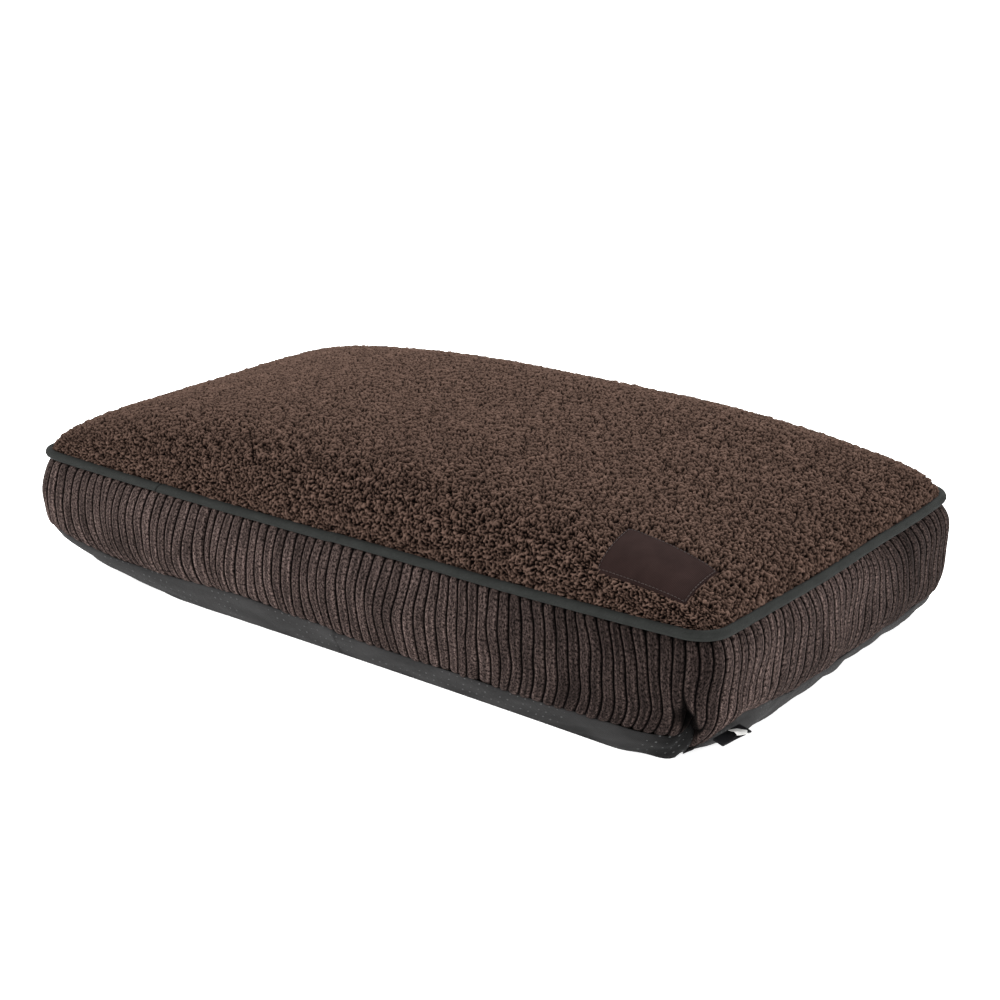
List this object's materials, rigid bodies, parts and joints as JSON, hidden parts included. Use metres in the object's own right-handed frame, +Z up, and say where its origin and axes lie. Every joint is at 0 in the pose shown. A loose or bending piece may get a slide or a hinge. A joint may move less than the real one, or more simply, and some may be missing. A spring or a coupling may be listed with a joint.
{
  "type": "pet cushion bed",
  "caption": "Rectangular box-edge pet cushion: crowned fleece top, corduroy boxing, piped top seam, grey base, rear zip and a removable fibre-filled inner cushion.",
  "frame": {"origin": "middle of the flat patch of the base that rests on the floor", "axes": "+X along the length, -Y towards the long side with the label patch, +Z up"},
  "size_m": [0.7268, 0.403, 0.163],
  "materials": {
    "sherpa": "dark brown sherpa fleece, short clumped curls",
    "corduroy": "dark brown wide-wale corduroy, velvety crowns",
    "base_cloth": "charcoal plain weave with small pale grip dots",
    "piping_cloth": "charcoal bias-cut plain weave",
    "cord": "soft cotton piping cord",
    "zip_tape": "dark brown woven zip tape",
    "zip_coil": "dark brown nylon coil",
    "zip_metal": "dark lacquered zinc",
    "thread": "dark brown polyester thread",
    "patch_satin": "very dark brown satin, blank",
    "patch_thread": "brown thread",
    "tag_black": "black damask ribbon, blank",
    "care_white": "white satin ribbon, blank",
    "liner_cloth": "white non-woven polyester",
    "fibre": "white hollow-fibre filling"
  },
  "bodies": {
    "cushion": {"top_panel": "sherpa", "boxing_long_strip": "corduroy", "boxing_short_strip": "corduroy", "zip_strip_upper": "corduroy", "zip_strip_lower": "corduroy", "base_panel": "base_cloth", "piping_cover": "piping_cloth", "piping_cord": "cord", "zip_tape_upper": "zip_tape", "zip_tape_lower": "zip_tape", "zip_coil_upper": "zip_coil", "zip_coil_lower": "zip_coil", "zip_top_stops": "zip_metal", "zip_bottom_stop": "zip_metal", "zip_topstitch_upper": "thread", "zip_topstitch_lower": "thread", "label_patch": "patch_satin", "patch_stitching": "patch_thread", "liner_upper": "liner_cloth", "liner_lower": "liner_cloth", "fibre_fill": "fibre"},
    "slider": {"zip_slider": "zip_metal"},
    "pull": {"zip_pull": "zip_metal"},
    "tags": {"side_tag": "tag_black", "care_label": "care_white"}
  },
  "joints": [
    {"name": "zip_slide", "type": "slide", "parent": "cushion", "child": "slider", "axis": [-1, 0, 0], "range_m": [0, 0.488]},
    {"name": "pull_swing", "type": "hinge", "parent": "slider", "child": "pull", "pos_m": [0.2441, 0.19935, 0.062], "axis": [0, 0, -1], "range_deg": [0, 170]},
    {"name": "tag_flip", "type": "hinge", "parent": "cushion", "child": "tags", "pos_m": [0.3452, -0.154, 0.024], "axis": [0.2419, 0.9703, 0], "range_deg": [-45, 45]}
  ]
}
